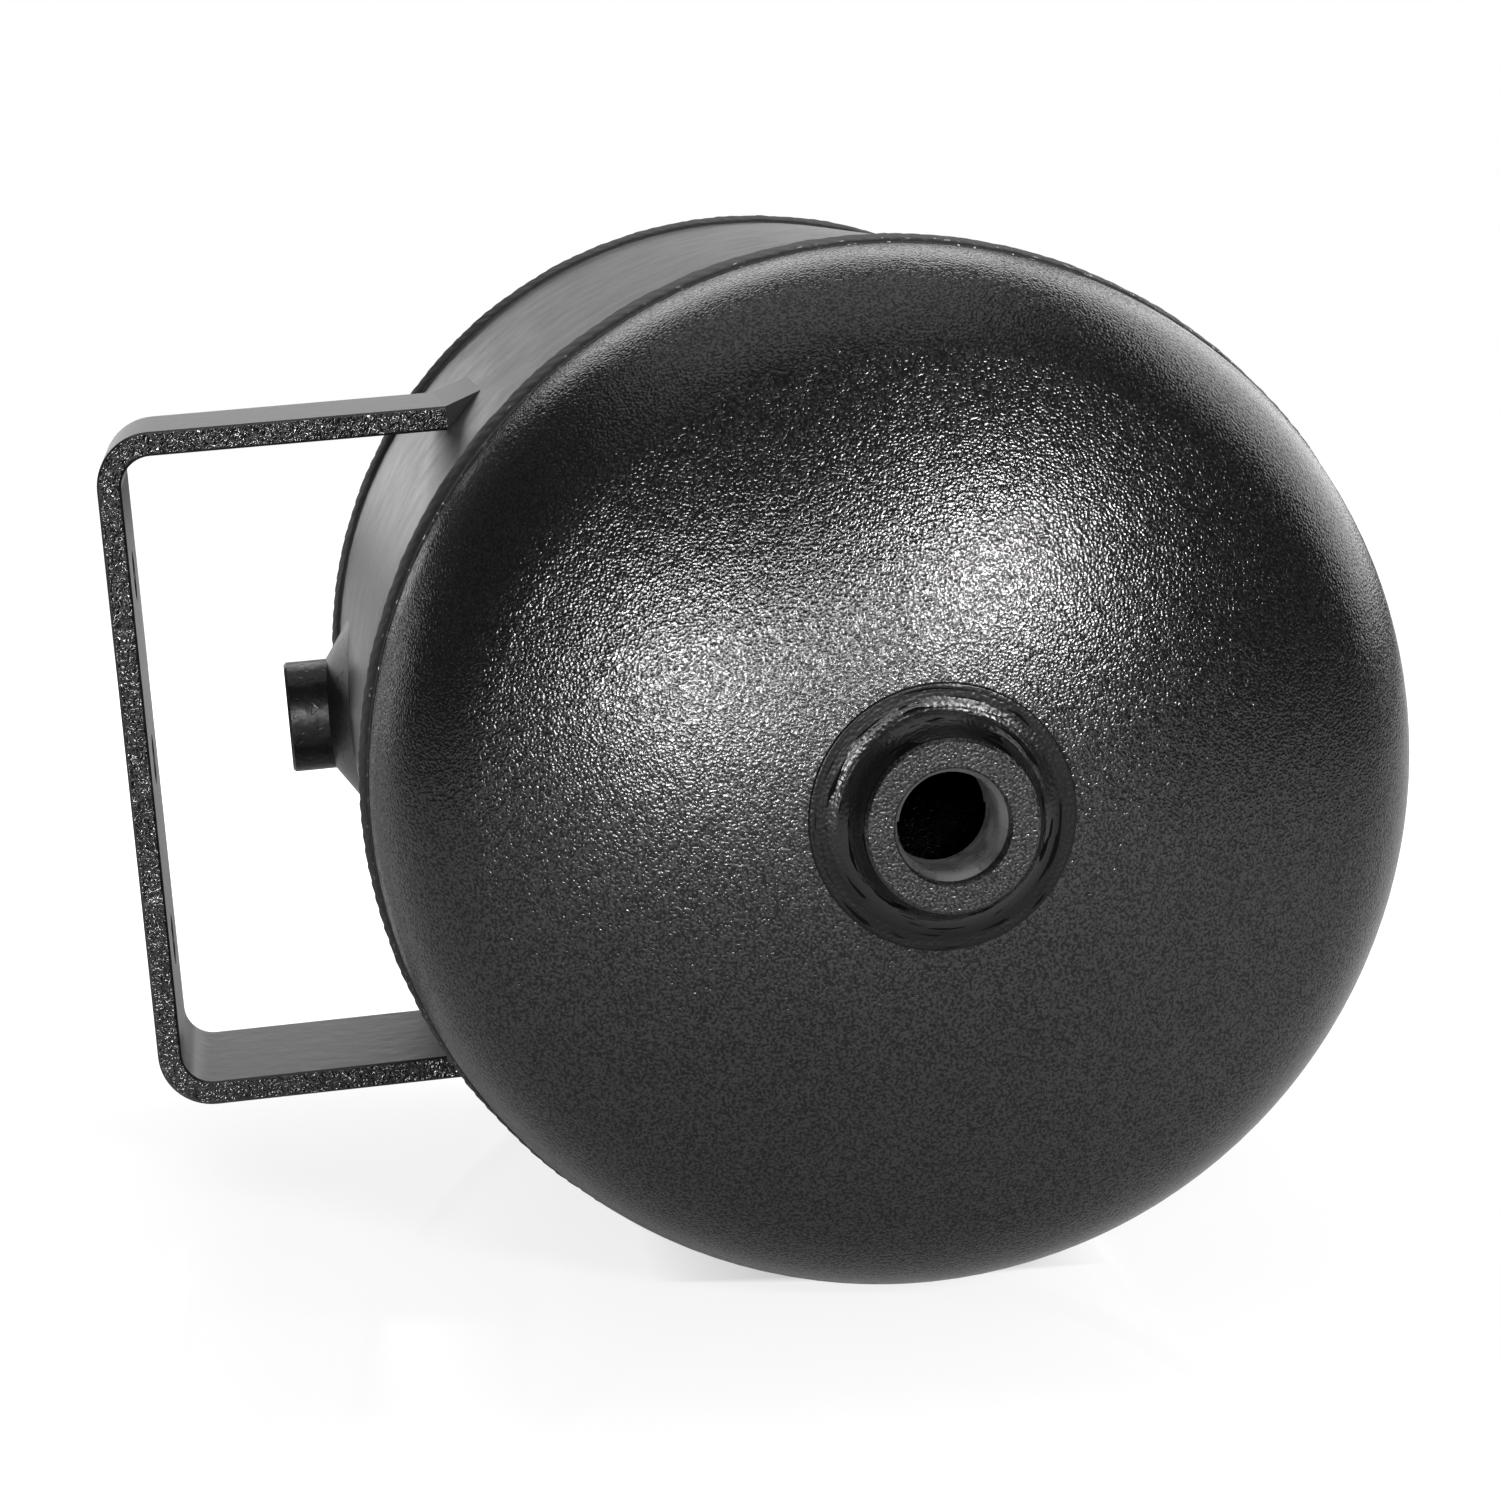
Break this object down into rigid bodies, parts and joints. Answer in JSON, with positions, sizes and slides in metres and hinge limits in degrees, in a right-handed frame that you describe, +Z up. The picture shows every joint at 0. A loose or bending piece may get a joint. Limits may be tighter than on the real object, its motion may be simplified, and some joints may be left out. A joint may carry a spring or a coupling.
{
  "type": "air suspension reservoir tank",
  "caption": "Welded steel compressed-air reservoir for a vehicle's air suspension, with dished heads, threaded port bosses and a bent bar mounting bracket.",
  "frame": {"origin": "middle bolt hole of the bracket, on the outer face of its web that bolts to the vehicle", "axes": "+Z up, the tank axis lies along Y with the ported head towards -Y, and the bracket's bolting face looks towards -X"},
  "size_m": [0.2527, 0.31, 0.2064],
  "materials": {
    "textured_coat": "black fine-textured powder coat",
    "smooth_coat": "black semi-gloss powder coat",
    "weld_coat": "black coat over weld ripples"
  },
  "bodies": {
    "root": {"shell": "smooth_coat", "front_head": "textured_coat", "rear_head": "textured_coat", "front_girth_weld": "weld_coat", "rear_girth_weld": "weld_coat", "shell_seam_weld": "weld_coat", "front_port_boss": "textured_coat", "front_port_weld": "weld_coat", "side_port_boss": "smooth_coat", "side_port_weld": "weld_coat", "mounting_bracket": "smooth_coat", "upper_leg_weld": "weld_coat", "lower_leg_weld": "weld_coat"}
  },
  "joints": []
}
